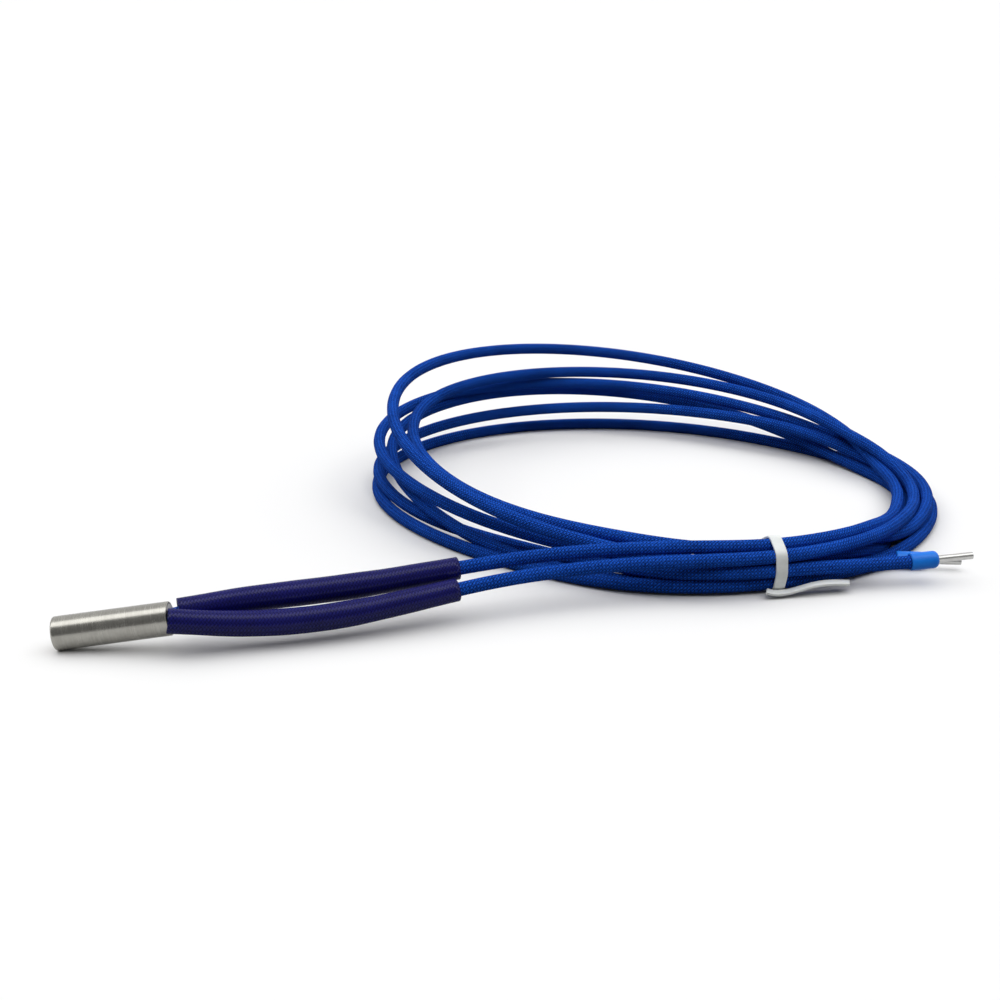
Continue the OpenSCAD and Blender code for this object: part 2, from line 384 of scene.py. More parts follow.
@dataclass(frozen=True)
class MineralFinish:
    """A fired, cast or packed mineral with grains and pores."""

    name: str
    deep: Colour
    high: Colour
    grain: float
    roughness: float

    def material(self) -> bpy.types.Material:
        """The mineral as a material."""
        shader = Shader(self.name)
        grains = shader.noise(shader.place((self.grain,) * 3), 5.0, 0.7)
        cloud = shader.noise(shader.place((8 * self.grain,) * 3), 2.0)
        tone = (grains * 0.7 + cloud * 0.5 - 0.1).smooth(0.2, 0.8)
        return shader.surface(
            Base_Color=shader.mix(tone, self.deep, self.high),
            Roughness=self.roughness + 0.15 * grains,
            Normal=shader.bump(grains, 0.4 * self.grain, 0.6),
        )


SHEATH_TILT = math.radians(8)
ALONG_SHEATH = (0.0, -SHEATH_TILT, 0.0)


class Finishes(Enum):
    """The finishes of the heater's pieces."""

    # In both braids the deep colour is painted shade between the yarns.
    BRAID = BraidFinish(
        "braid", 12, (0.0003, 0.003, 0.048), (0.019, 0.142, 0.82), 0.75, 0.02, 0.0, 0.17 * MM
    )
    SLEEVING = BraidFinish(
        "sleeving", 16, (0.004, 0.004, 0.05), (0.01, 0.011, 0.18), 0.5, 0.015, 0.85, 0.1 * MM
    )
    STAINLESS = MetalFinish(
        "stainless", (0.27, 0.263, 0.24), (0.37, 0.362, 0.333), 0.16, 0.13,
        (0.12 * MM, 5 * MM, 5 * MM), ALONG_SHEATH, 0.01 * MM,
    )
    WELD_DISC = MetalFinish(
        "weld_disc", (0.34, 0.32, 0.29), (0.5, 0.48, 0.45), 0.3, 0.2, (0.4 * MM,) * 3, ALONG_SHEATH, 0.05 * MM
    )
    NICKEL = MetalFinish(
        "nickel", (0.55, 0.52, 0.46), (0.7, 0.67, 0.6), 0.2, 0.15, (3 * MM, 0.1 * MM, 0.1 * MM), ALONG_SHEATH
    )
    RESISTANCE_ALLOY = MetalFinish(
        "resistance_alloy", (0.16, 0.15, 0.14), (0.3, 0.28, 0.26), 0.4, 0.2, (0.3 * MM,) * 3, ALONG_SHEATH
    )
    TINNED = MetalFinish(
        "tinned_copper", (0.42, 0.42, 0.41), (0.6, 0.6, 0.58), 0.2, 0.16, (3 * MM, 0.15 * MM, 0.15 * MM),
        relief=0.02 * MM,
    )
    COLLAR = PlasticFinish("collar", (0.003, 0.16, 0.75), (0.01, 0.25, 0.94), 0.3, 0.2, 0.0)
    STRAP = PlasticFinish("strap", (0.8, 0.83, 0.82), (0.95, 0.97, 0.95), 0.34, 0.4, 0.15)
    CEMENT = MineralFinish("cement", (0.68, 0.66, 0.62), (0.9, 0.89, 0.86), 0.2 * MM, 0.75)
    CERAMIC = MineralFinish("ceramic", (0.78, 0.76, 0.71), (0.9, 0.88, 0.84), 0.12 * MM, 0.55)
    MAGNESIA = MineralFinish("magnesia", (0.74, 0.71, 0.64), (0.9, 0.88, 0.82), 0.15 * MM, 0.85)


class Wardrobe:
    """Makes each finish once and puts it on pieces."""

    def __init__(self) -> None:
        """Starts with no material made."""
        self.made: dict[Finishes, bpy.types.Material] = {}

    def dress(self, piece: bpy.types.Object, finish: Finishes) -> None:
        """Gives a piece one finish.

        Args:
            piece: The mesh piece.
            finish: The finish, made on first use.
        """
        if finish not in self.made:
            self.made[finish] = finish.value.material()
        piece.data.materials.clear()
        piece.data.materials.append(self.made[finish])
        LOG.info("%s: %s", piece.name, finish.name.lower())


class Place(Enum):
    """The eight strands in the strap, in strand pitches in front of its middle and above the lowest one."""

    REAR_RUN = (0.0, 2.52)
    FRONT_RUN = (0.87, 2.04)
    REAR_END = (0.87, 1.04)
    FRONT_END = (0.33, 0.0)
    BACK_HIGH = (-0.96, 2.11)
    MIDDLE = (-0.04, 1.52)
    BACK_LOW = (-0.96, 1.07)
    BOTTOM = (-0.7, 0.0)


@dataclass(frozen=True)
class Turn:
    """One turn of the coil, as an oval that rises and falls once on its way round.

    Attributes:
        radius: The mean radius.
        oval: How far the longest radius exceeds the mean.
        oval_at: The direction of the longest radius.
        height: The mean height.
        swing: How far the turn rises and falls.
        swing_at: The direction of its highest place.
        side: Its radius and height at the coil's gathered side.
        lead_in: The angle over which it leaves the strap.
        lead_out: The angle over which it comes back to the strap.
        start: Its place in the strap as it leaves.
        end: Its place there as it comes back.
    """

    radius: float
    oval: float
    oval_at: float
    height: float
    swing: float
    swing_at: float
    side: Pair
    lead_in: float
    lead_out: float
    start: Place
    end: Place


@dataclass(frozen=True)
class Coil:
    """Where the coil lies, and how the strap holds its strands."""

    centre: Pair = (99.0, 92.5)
    strap: Pair = STRAP_AT
    turned: float = 19.0
    pitch: float = 2.7
    first_row: float = 1.9
    lead_d: float = LEAD_D
    side_at: float = -14.0
    side_reach: float = 62.0
    step: float = 9.0
    softness: int = 40

    def slot(self, place: Place) -> np.ndarray:
        """A strand's place in the strap, in millimetres."""
        turned = math.radians(self.turned)
        out = np.array((math.sin(turned), -math.cos(turned)))
        front, up = place.value
        plan = np.array(self.strap) + front * self.pitch * out
        return np.append(plan, self.first_row + up * self.pitch)

    def points(self, turn: Turn) -> np.ndarray:
        """Works out one turn from the strap round to the strap again.

        Args:
            turn: The turn's numbers.

        Returns:
            Its points, in millimetres, without the first.
        """
        centre = np.array(self.centre)
        start, end = self.slot(turn.start), self.slot(turn.end)
        first = np.array(self.strap) - centre
        gone = np.arange(self.step, 360.0, self.step)
        angle = np.degrees(np.arctan2(first[1], first[0])) + gone
        way = np.column_stack((np.cos(np.radians(angle)), np.sin(np.radians(angle))))
        radius = turn.radius + turn.oval * np.cos(2 * np.radians(angle - turn.oval_at))
        height = turn.height + turn.swing * np.cos(np.radians(angle - turn.swing_at))
        blends = (
            (ease(1 - np.abs(angle - self.side_at) / self.side_reach), *turn.side),
            (1 - ease(gone / turn.lead_in), np.hypot(*(start[:2] - centre)), start[2]),
            (1 - ease((360 - gone) / turn.lead_out), np.hypot(*(end[:2] - centre)), end[2]),
        )
        for share, to_radius, to_height in blends:
            radius = radius + share * (to_radius - radius)
            height = height + share * (to_height - height)
        height = np.maximum(height, self.lead_d / 2)
        plan = centre + radius[:, None] * way
        return np.vstack((np.column_stack((plan, height)), end))


@dataclass(frozen=True)
class Route:
    """The whole way of one lead, in millimetres as in the part's source.

    Its sleeve starts and ends at places along X, and is fuller at its middle by the share belly.
    """

    name: str
    exit: Triple
    way: tuple[Triple, ...]
    turns: tuple[Turn, ...]
    tail: tuple[Triple, ...]
    sleeve: Pair
    belly: float

    def line(self, coil: Coil, step: float) -> np.ndarray:
        """Draws one smooth line through the whole route.

        Args:
            coil: The coil that the turns belong to.
            step: The distance between the points of the line.

        Returns:
            The line's points, in millimetres.
        """
        first = coil.slot(self.turns[0].start)
        turns = [coil.points(turn) for turn in self.turns]
        line = smooth_line(np.vstack((self.exit, *self.way, first, *turns, *self.tail)), step)
        return relaxed(line, coil.softness)


def ease(share: np.ndarray) -> np.ndarray:
    """A smooth step from 0 to 1 over the same range."""
    t = np.clip(share, 0.0, 1.0)
    return t**3 * (t * (6 * t - 15) + 10)


def distances(line: np.ndarray) -> np.ndarray:
    """How far along a line each of its points lies."""
    return np.append(0.0, np.cumsum(np.linalg.norm(np.diff(line, axis=0), axis=1)))


def spaced(line: np.ndarray, step: float) -> np.ndarray:
    """Spaces a line's points evenly.

    Args:
        line: The line's points.
        step: The wanted distance.

    Returns:
        The new points, with the same ends.
    """
    gone = distances(line)
    places = np.linspace(0.0, gone[-1], max(2, round(gone[-1] / step) + 1))
    return np.column_stack([np.interp(places, gone, line[:, axis]) for axis in range(3)])


def smooth_line(points: np.ndarray, step: float, fine: int = 12) -> np.ndarray:
    """Draws a centripetal spline through points.

    Args:
        points: The points that it passes through.
        step: The distance between the points of the line.
        fine: The number of steps from one given point to the next.

    Returns:
        The line.
    """
    given = np.vstack((2 * points[0] - points[1], points, 2 * points[-1] - points[-2]))
    pieces = []
    for index in range(1, len(given) - 2):
        a, b, c, d = given[index - 1 : index + 3]
        steps = [math.sqrt(np.linalg.norm(v - u)) for u, v in ((a, b), (b, c), (c, d))]
        knots = np.cumsum([0.0] + steps)
        t = np.linspace(knots[1], knots[2], fine, endpoint=False)[:, None]

        def between(low: int, high: int, first: np.ndarray, second: np.ndarray) -> np.ndarray:
            """Blends two points over a stretch of the knots."""
            share = (t - knots[low]) / (knots[high] - knots[low])
            return (1 - share) * first + share * second

        ab, bc, cd = between(0, 1, a, b), between(1, 2, b, c), between(2, 3, c, d)
        pieces.append(between(1, 2, between(0, 2, ab, bc), between(1, 3, bc, cd)))
    return spaced(np.vstack((*pieces, points[-1:])), step)


def relaxed(line: np.ndarray, rounds: int, held: float = 20.0) -> np.ndarray:
    """Takes small kinks out of a line.

    Args:
        line: Evenly spaced points.
        rounds: The number of smoothing steps.
        held: The number of points at each end over which the smoothing fades in.

    Returns:
        The smoother line, with the same ends.
    """
    count = np.arange(len(line))
    free = ease(np.minimum(count, count[::-1]) / held)[1:-1, None]
    soft = line.copy()
    for _ in range(rounds):
        soft[1:-1] += 0.5 * free * ((soft[:-2] + soft[2:]) / 2 - soft[1:-1])
    return soft


@dataclass
class Settler:
    """Pushes strands apart until none lies in another, and keeps them on the floor.

    Attributes:
        gap: The least distance of two strands' middles.
        floor: The least height of a strand's middle.
        rounds: The number of steps.
        reach: How far past the gap neighbours are looked for.
        own_reach: How far along its own line a point has no neighbours.
        held: The number of points at each end over which a line comes free.
        renewed: The number of steps from one search for neighbours to the next.
        pull: The share of the moves that stays after a step.
        pulled: The share of the steps in which the moves shrink so.
        evened: The number of times that a step smooths the moves.
        evening: The strength of that smoothing.
        give: The share of an overlap by which each of two strands moves.
        crowd: The number of pushes that a point takes in full.
        block: The number of points in one part of a search.
    """

    gap: float
    floor: float
    rounds: int = 240
    reach: float = 2.5
    own_reach: int = 6
    held: float = 12.0
    renewed: int = 8
    pull: float = 0.99
    pulled: float = 0.7
    evened: int = 2
    evening: float = 0.25
    give: float = 0.3
    crowd: float = 1.5
    block: int = 400

    def settle(self, lines: Sequence[np.ndarray]) -> list[np.ndarray]:
        """Settles several lines together.

        Args:
            lines: Evenly spaced lines.

        Returns:
            The same lines, moved apart.
        """
        base = np.vstack(lines)
        owner = np.concatenate([np.full(len(line), number) for number, line in enumerate(lines)])
        counts = [np.arange(len(line)) for line in lines]
        index = np.concatenate(counts)
        ends = np.concatenate([np.minimum(count, count[::-1]) for count in counts])
        free = np.clip(ends / self.held, 0.0, 1.0)[:, None]
        move = np.zeros_like(base)
        for number in range(self.rounds):
            if number % self.renewed == 0:
                pairs = self.neighbours(base + move, owner, index)
            move = move + free * self.push(base + move, pairs)
            if number < self.pulled * self.rounds:
                move *= self.pull
            for line in range(len(lines)):
                mine = np.flatnonzero(owner == line)
                for _ in range(self.evened):
                    inner = move[mine]
                    move[mine[1:-1]] += self.evening * (inner[:-2] - 2 * inner[1:-1] + inner[2:])
            move *= free > 0
            move[:, 2] += np.clip(self.floor - base[:, 2] - move[:, 2], 0.0, None)
        settled = base + move
        return [settled[owner == line] for line in range(len(lines))]

    def neighbours(
        self, points: np.ndarray, owner: np.ndarray, index: np.ndarray
    ) -> tuple[np.ndarray, np.ndarray]:
        """Finds the pairs of points that may touch.

        Args:
            points: All points.
            owner: The line of each point.
            index: The place of each point on its line.

        Returns:
            The first and the second point of each pair.
        """
        found = []
        for start in range(0, len(points), self.block):
            block = points[start : start + self.block]
            distance = np.linalg.norm(block[:, None] - points[None], axis=2)
            first, second = np.where(distance < self.gap + self.reach)
            first = first + start
            apart = (owner[first] != owner[second]) | (np.abs(index[first] - index[second]) > self.own_reach)
            keep = (first < second) & apart
            found.append(np.column_stack((first[keep], second[keep])))
        pairs = np.vstack(found)
        return pairs[:, 0], pairs[:, 1]

    def push(self, points: np.ndarray, pairs: tuple[np.ndarray, np.ndarray]) -> np.ndarray:
        """Works out one step of the strands away from each other.

        Args:
            points: All points.
            pairs: The pairs that may touch.

        Returns:
            The step of each point.
        """
        first, second = pairs
        way = points[second] - points[first]
        distance = np.linalg.norm(way, axis=1)
        over = np.clip(self.gap - distance, 0.0, None)
        push = way * (self.give * over / np.maximum(distance, TINY))[:, None]
        step = np.zeros_like(points)
        hits = np.zeros(len(points))
        np.add.at(step, first, -push)
        np.add.at(step, second, push)
        np.add.at(hits, first, over > 0)
        np.add.at(hits, second, over > 0)
        return step / np.maximum(1.0, hits / self.crowd)[:, None]


# Each wave of an uneven wall, as its turn from point to point, its lobes round the wall and its start.
WALL_WAVES = ((0.31, 2.0, 0.0), (0.13, -1.0, 1.0), (0.47, 0.0, 2.0))


@dataclass
class Tube:
    """A round tube along a line, with a UV map that runs round and along it."""

    line: np.ndarray
    radius: float
    sides: int = 14
    bore: Optional[float] = None
    uneven: float = 0.0
    taper: float = 0.0
    belly: float = 0.0
    yarn: float = 0.68 * MM

    def frames(self) -> tuple[np.ndarray, np.ndarray]:
        """Carries a pair of cross directions along the line without twist.

        Returns:
            The two directions at each point.
        """
        way = np.gradient(self.line, axis=0)
        way /= np.linalg.norm(way, axis=1)[:, None]
        across = np.cross((0.0, 0.0, 1.0), way[0])
        acrosses = []
        for direction in way:
            across = across - direction * across.dot(direction)
            across = across / np.linalg.norm(across)
            acrosses.append(across)
        first = np.array(acrosses)
        return first, np.cross(way, first)

    def skin(self, radius: float) -> np.ndarray:
        """Places the rings of one wall.

        Args:
            radius: The wall's radius.

        Returns:
            The points, ring by ring.
        """
        first, second = self.frames()
        turn = np.linspace(0.0, 2 * math.pi, self.sides, endpoint=False)
        gone = np.arange(len(self.line))[:, None]
        wave = sum(np.sin(rate * gone + lobes * turn + start) for rate, lobes, start in WALL_WAVES)
        share = gone / len(self.line)
        full = 1 - self.taper * share + self.belly * np.sin(math.pi * share) ** 2
        size = (radius * full * (1 + self.uneven * wave / len(WALL_WAVES)))[..., None]
        cosine, sine = np.cos(turn)[None, :, None], np.sin(turn)[None, :, None]
        ring = cosine * first[:, None] + sine * second[:, None]
        return (self.line[:, None] + size * ring).reshape(-1, 3)

    def wall(self, base: int, inward: bool) -> list[tuple[int, ...]]:
        """Lists the faces of one wall.

        Args:
            base: The number of the wall's first point.
            inward: Whether the faces look at the line.

        Returns:
            The faces.
        """
        faces = []
        for ring in range(len(self.line) - 1):
            for side in range(self.sides):
                after = (side + 1) % self.sides
                a, b = base + ring * self.sides + side, base + ring * self.sides + after
                face = (a, b, b + self.sides, a + self.sides)
                faces.append(face[::-1] if inward else face)
        return faces

    def build(self, name: str) -> bpy.types.Object:
        """Makes the tube's object.

        Args:
            name: The object's name.

        Returns:
            The object, with its place in its mesh.
        """
        points = self.skin(self.radius)
        faces = self.wall(0, False)
        last = (len(self.line) - 1) * self.sides
        if self.bore is None:
            faces.append(tuple(range(self.sides))[::-1])
            faces.append(tuple(last + side for side in range(self.sides)))
        else:
            inner = len(points)
            points = np.vstack((points, self.skin(self.bore)))
            faces += self.wall(inner, True)
            for side in range(self.sides):
                after = (side + 1) % self.sides
                faces.append((after, side, inner + side, inner + after))
                faces.append((last + side, last + after, inner + last + after, inner + last + side))
        mesh = bpy.data.meshes.new(name)
        mesh.from_pydata(points.tolist(), [], faces)
        self.unwrap(mesh)
        mesh.shade_smooth()
        piece = bpy.data.objects.new(name, mesh)
        bpy.context.collection.objects.link(piece)
        return piece

    def unwrap(self, mesh: bpy.types.Mesh) -> None:
        """Writes the UV map: 0 to 1 round the tube, and yarns along it.

        Args:
            mesh: The tube's mesh.
        """
        gone = distances(self.line) / self.yarn
        layer = mesh.uv_layers.new(name="around_along")
        count = len(self.line) * self.sides
        places = np.zeros((len(mesh.loops), 2))
        for face in mesh.polygons:
            numbers = [mesh.loops[loop].vertex_index % count for loop in face.loop_indices]
            sides = [number % self.sides for number in numbers]
            seam = 0 in sides and self.sides - 1 in sides
            for loop, number, side in zip(face.loop_indices, numbers, sides):
                round_it = side + self.sides if seam and side == 0 else side
                places[loop] = (round_it / self.sides, gone[number // self.sides])
        layer.data.foreach_set("uv", places.ravel())


@dataclass
class Leads:
    """The two braided leads, their sleeves and what ends them."""

    coil: Coil = field(default_factory=Coil)
    lead_d: float = LEAD_D
    strand_gap: float = 0.06
    step: float = 1.5
    fine_step: float = 1.0
    sleeve_d: float = 4.4
    sleeve_taper: float = 0.05
    sleeve_play: float = 0.25
    sleeve_step: float = 0.8
    sleeve_sides: int = 24
    sleeve_uneven: float = 0.02
    sleeve_yarn: float = 0.62
    stiff: int = 6
    rear: Route = Route(
        name="rear",
        exit=(10.15, 1.5, 5.77),
        way=(
            (10.65, 1.5, 5.74), (11.3, 1.85, 5.85), (12.6, 2.65, 6.3), (17.2, 4, 6.9), (22.9, 5.8, 7.2),
            (31.6, 8.4, 7.4), (40.2, 11.2, 7.5), (49, 14.4, 7.95), (60.2, 18.4, 8.75), (64.6, 19.9, 9),
            (69.9, 21.5, 9.4), (76.9, 23.6, 9.6), (85.9, 25.4, 9.7), (94, 26.4, 9.8), (102, 26.9, 9.8),
            (110.5, 28.2, 9.3),
        ),
        turns=(
            Turn(58.9, 3, 93, 12.7, 10.8, 143, (56, 3.9), 60, 30, Place.REAR_RUN, Place.MIDDLE),
            Turn(58.7, 4.7, 119, 3.7, 7.6, 130, (57.8, 1.3), 50, 55, Place.MIDDLE, Place.BOTTOM),
            Turn(56.9, 6.6, 145, 4.8, 2.8, 62, (60.5, 1.3), 40, 55, Place.BOTTOM, Place.REAR_END),
        ),
        tail=(
            (124, 29.5, 4.6), (129.5, 31, 4.5), (135, 32, 4.4), (140.5, 33.2, 4.3),
            (145.6, 34.4, 4.3), (148.6, 34.9, 4.45),
        ),
        sleeve=(11.1, 59.5),
        belly=0.1,
    )
    front: Route = Route(
        name="front",
        exit=(10.15, -1.5, 5.77),
        way=(
            (10.65, -1.5, 5.84), (11.3, -1.8, 5.9), (13, -2.1, 5.9), (17, -1.4, 5.4), (23.6, 0.4, 4.55),
            (30.2, 2, 4.2), (40.2, 5.2, 4.45), (49.2, 9, 5.2), (59.6, 13.8, 6.1), (64.1, 15.7, 6.7),
            (69.9, 18, 7), (77.9, 20.6, 7.2), (85.9, 22.5, 7.6), (94, 24.1, 7.6), (102, 24.6, 7.8),
            (110.5, 25.8, 7.6),
        ),
        turns=(
            Turn(55.4, 4, 99, 11.9, 4.7, 138, (59.3, 3.8), 65, 30, Place.FRONT_RUN, Place.BACK_HIGH),
            Turn(57.8, 4.6, 143, 7.9, 5.6, 127, (62, 3.7), 45, 47, Place.BACK_HIGH, Place.BACK_LOW),
            Turn(60.2, 4.5, 130, 1.3, 0, 100, (63.2, 1.3), 40, 55, Place.BACK_LOW, Place.FRONT_END),
        ),
        tail=(
            (124, 31, 1.9), (129.5, 33.4, 1.8), (135, 37.2, 1.8), (140.5, 41.8, 1.8),
            (145, 43.2, 1.8), (148, 42.9, 1.8),
        ),
        sleeve=(10.05, 59.6),
        belly=0.11,
    )

    def build(self, wardrobe: Wardrobe) -> list[np.ndarray]:
        """Makes and dresses both leads.

        Args:
            wardrobe: The finishes.

        Returns:
            Both leads' lines, in millimetres.
        """
        routes = (self.rear, self.front)
        settler = Settler(self.lead_d + self.strand_gap, self.lead_d / 2)
        lines = settler.settle([route.line(self.coil, self.step) for route in routes])
        for route, settled in zip(routes, lines):
            name = route.name
            line = spaced(settled, self.fine_step) * MM
            sleeve = self.sleeve(route, line, wardrobe)
            lead = Tube(line, self.lead_d / 2 * MM).build(f"{name}_braided_lead")
            wardrobe.dress(lead, Finishes.BRAID)
            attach(lead, ROOT)
            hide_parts(f"{name}_lead", f"{name}_lead_coil", f"{name}_lead_tail")
            self.lead_d * MM
        return lines

    def sleeve(self, route: Route, line: np.ndarray, wardrobe: Wardrobe) -> bpy.types.Object:
        """Makes the sleeve over the first stretch of a lead.

        Args:
            route: The lead's route.
            line: The lead's line.
            wardrobe: The finishes.

        Returns:
            The sleeve.
        """
        first_turn = int(np.argmax(line[:, 0] > self.coil.strap[0] * MM))
        run = line[:first_turn]
        start, end = (place * MM for place in route.sleeve)
        inside = (run[:, 0] >= start) & (run[:, 0] <= end)
        stretch = self.straightened(spaced(run[inside], self.sleeve_step * MM), start)
        tube = Tube(
            stretch,
            self.sleeve_d / 2 * MM,
            sides=self.sleeve_sides,
            bore=(self.lead_d / 2 + self.sleeve_play) * MM,
            uneven=self.sleeve_uneven,
            taper=self.sleeve_taper,
            belly=route.belly,
            yarn=self.sleeve_yarn * MM,
        )
        piece = tube.build(f"{route.name}_braided_sleeve")
        wardrobe.dress(piece, Finishes.SLEEVING)
        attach(piece, ROOT)
        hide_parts(f"{route.name}_sleeve")
        return piece

    def straightened(self, stretch: np.ndarray, start: float) -> np.ndarray:
        """Lets a sleeve start straight, as it is too stiff to follow the lead into the cartridge.

        Args:
            stretch: The sleeve's line.
            start: Where the sleeve starts along X.

        Returns:
            The line with a straight first stretch.
        """
        bend = self.stiff
        way = stretch[bend + 1] - stretch[bend]
        back = stretch[bend] + way * (start - stretch[bend][0]) / way[0]
        share = np.linspace(0.0, 1.0, bend, endpoint=False)[:, None]
        return np.vstack((back + share * (stretch[bend] - back), stretch[bend:]))


@dataclass
class BundleStrap:
    """The soft white strap round the coil, with its loose tail."""

    at: Pair = STRAP_AT
    turned: float = 13.0
    width: float = 2.3
    thick: float = 0.5
    edge: float = 0.12
    edge_steps: int = 2
    edge_angle: float = 50.0
    smoothness: int = 2
    lead_d: float = LEAD_D
    room: float = 0.12
    lean: float = 0.03
    upright_at: float = 5.5
    reach: Pair = (7.0, 13.0)
    around: int = 36
    spacing: float = 0.9
    weld: float = 0.02
    tail_from: float = -4.0
    tail_cut: float = 0.42
    tail: tuple[Pair, ...] = (
        (-3.1, 1.5), (-3.0, 1.42), (-2.1, 1.05), (-0.9, 0.88), (0.4, 0.88), (1.7, 1.02), (3, 1.28),
        (4.6, 1.66), (6.4, 2.0), (8.2, 2.15), (10, 2.15), (11.8, 2.0), (13.5, 1.8), (13.6, 1.79),
    )
    lines: list[np.ndarray] = field(default_factory=list)

    def build(self, wardrobe: Wardrobe) -> None:
        """Makes and dresses the strap.

        Args:
            wardrobe: The finishes.
        """
        loop = self.strip("bundle_strap_band", self.loop_points(), Vector((1.0, 0.0, 0.0)), True)
        LOG.info("%s closes round %d strands", loop.name, len(self.strands()))
        flat = [Vector((along, self.tail_from, height)) for along, height in self.tail]
        tail = self.strip("bundle_strap_tail", flat, Vector((self.tail_cut, 1.0, 0.0)), False)
        for piece in (loop, tail):
            wardrobe.dress(piece, Finishes.STRAP)
            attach(piece, ROOT)
            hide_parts("bundle_strap")

    def strands(self) -> list[Vector]:
        """Finds where the leads pass through the strap.

        Returns:
            The middle of each strand, in the strap's own directions.
        """
        turned = math.radians(self.turned)
        found = []
        for line in self.lines:
            away = line[:, :2] - np.array(self.at)
            along = away @ np.array((math.cos(turned), math.sin(turned)))
            across = away @ np.array((-math.sin(turned), math.cos(turned)))
            for i in np.flatnonzero(along[:-1] * along[1:] < 0):
                share = along[i] / (along[i] - along[i + 1])
                y = across[i] + share * (across[i + 1] - across[i])
                z = line[i, 2] + share * (line[i + 1, 2] - line[i, 2])
                if abs(y) < self.reach[0] and z < self.reach[1]:
                    found.append(Vector((0.0, y, z)))
        return found

    def loop_points(self) -> list[Vector]:
        """Works out the loop's centre line, drawn tight round the strands.

        Returns:
            The points, in the strap's own directions.
        """
        radius = self.lead_d / 2 + self.room + self.thick / 2
        angles = [2 * math.pi * step / self.around for step in range(self.around)]
        outline = sorted(
            (middle.y + radius * math.cos(angle), max(middle.z + radius * math.sin(angle), self.thick / 2))
            for middle in self.strands()
            for angle in angles
        )
        half_hulls = []
        for order in (outline, outline[::-1]):
            hull: list[Pair] = []
            for y, z in order:
                while len(hull) > 1:
                    (y0, z0), (y1, z1) = hull[-2:]
                    if (y1 - y0) * (z - z0) > (z1 - z0) * (y - y0):
                        break
                    hull.pop()
                hull.append((y, z))
            half_hulls += hull[:-1]
        ring = np.array([(0.0, y, z) for y, z in half_hulls + half_hulls[:1]])
        return [Vector(point) for point in spaced(ring, self.spacing)[:-1]]

    def strip(self, name: str, points: list[Vector], across: Vector, closed: bool) -> bpy.types.Object:
        """Draws a flat strip along points.

        Args:
            name: The piece's name.
            points: The strip's centre line, in the strap's own directions.
            across: The strip's width direction.
            closed: Whether the strip closes on itself.

        Returns:
            The finished piece, in its place.
        """
        bpy.ops.object.select_all(action="DESELECT")
        bpy.ops.mesh.primitive_plane_add(size=1.0)
        piece = bpy.context.object
        piece.name = name
        half = across * self.width / 2
        ends = (points[0] - half, points[0] + half, points[1] - half, points[1] + half)
        for vertex, place in zip(piece.data.vertices, ends):
            vertex.co = self.placed(place)
        bpy.ops.object.mode_set(mode="EDIT")
        bpy.ops.mesh.select_all(action="DESELECT")
        bpy.ops.mesh.select_mode(type="VERT")
        bpy.ops.object.mode_set(mode="OBJECT")
        for vertex in piece.data.vertices[2:4]:
            vertex.select = True
        bpy.ops.object.mode_set(mode="EDIT")
        route = points[2:] + points[:1] if closed else points[2:]
        for before, after in zip([points[1]] + route, route):
            step = self.placed(after) - self.placed(before)
            bpy.ops.mesh.extrude_region_move(TRANSFORM_OT_translate={"value": step})
        bpy.ops.mesh.select_all(action="SELECT")
        bpy.ops.mesh.remove_doubles(threshold=self.weld * MM)
        bpy.ops.mesh.normals_make_consistent(inside=False)
        bpy.ops.object.mode_set(mode="OBJECT")
        self.thicken(piece)
        return piece

    def placed(self, place: Vector) -> Vector:
        """Turns a place in the strap's own directions into the part's frame."""
        turned = math.radians(self.turned)
        along = place.x + self.lean * (self.upright_at - place.z)
        x = self.at[0] + along * math.cos(turned) - place.y * math.sin(turned)
        y = self.at[1] + along * math.sin(turned) + place.y * math.cos(turned)
        return Vector((x, y, place.z)) * MM

    def thicken(self, piece: bpy.types.Object) -> None:
        """Gives a strip its thickness and soft edges.

        Args:
            piece: The flat strip.
        """
        solid = piece.modifiers.new("thickness", "SOLIDIFY")
        solid.thickness = self.thick * MM
        solid.offset = 0.0
        edge = piece.modifiers.new("edge", "BEVEL")
        edge.width = self.edge * MM
        edge.segments = self.edge_steps
        edge.angle_limit = math.radians(self.edge_angle)
        smooth = piece.modifiers.new("smooth", "SUBSURF")
        smooth.levels = smooth.render_levels = self.smoothness
        for modifier in (solid, edge, smooth):
            bpy.ops.object.modifier_apply(modifier=modifier.name)
        bpy.ops.object.shade_smooth()


class Cartridge:
    """The solids that keep their shape and only take a finish."""

    finishes: dict[str, Finishes] = {
        "sheath": Finishes.STAINLESS,
        "end_disc": Finishes.WELD_DISC,
        "ceramic_core": Finishes.CERAMIC,
        "resistance_wire": Finishes.RESISTANCE_ALLOY,
        "magnesia_fill": Finishes.MAGNESIA,
        "long_terminal_pin": Finishes.NICKEL,
        "short_terminal_pin": Finishes.NICKEL,
        "lead_seal": Finishes.CEMENT,
        "rear_lead_collar": Finishes.COLLAR,
        "front_lead_collar": Finishes.COLLAR,
        "rear_lead_ferrule": Finishes.TINNED,
        "front_lead_ferrule": Finishes.TINNED,
    }

    def build(self, wardrobe: Wardrobe) -> None:
        """Dresses the solids.

        Args:
            wardrobe: The finishes.
        """
        for name, finish in self.finishes.items():
            wardrobe.dress(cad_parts[name], finish)


@dataclass(frozen=True)
class Card:
    """A card that only reflections show."""

    name: str
    at: Triple
    turn: float
    size: Pair
    level: float


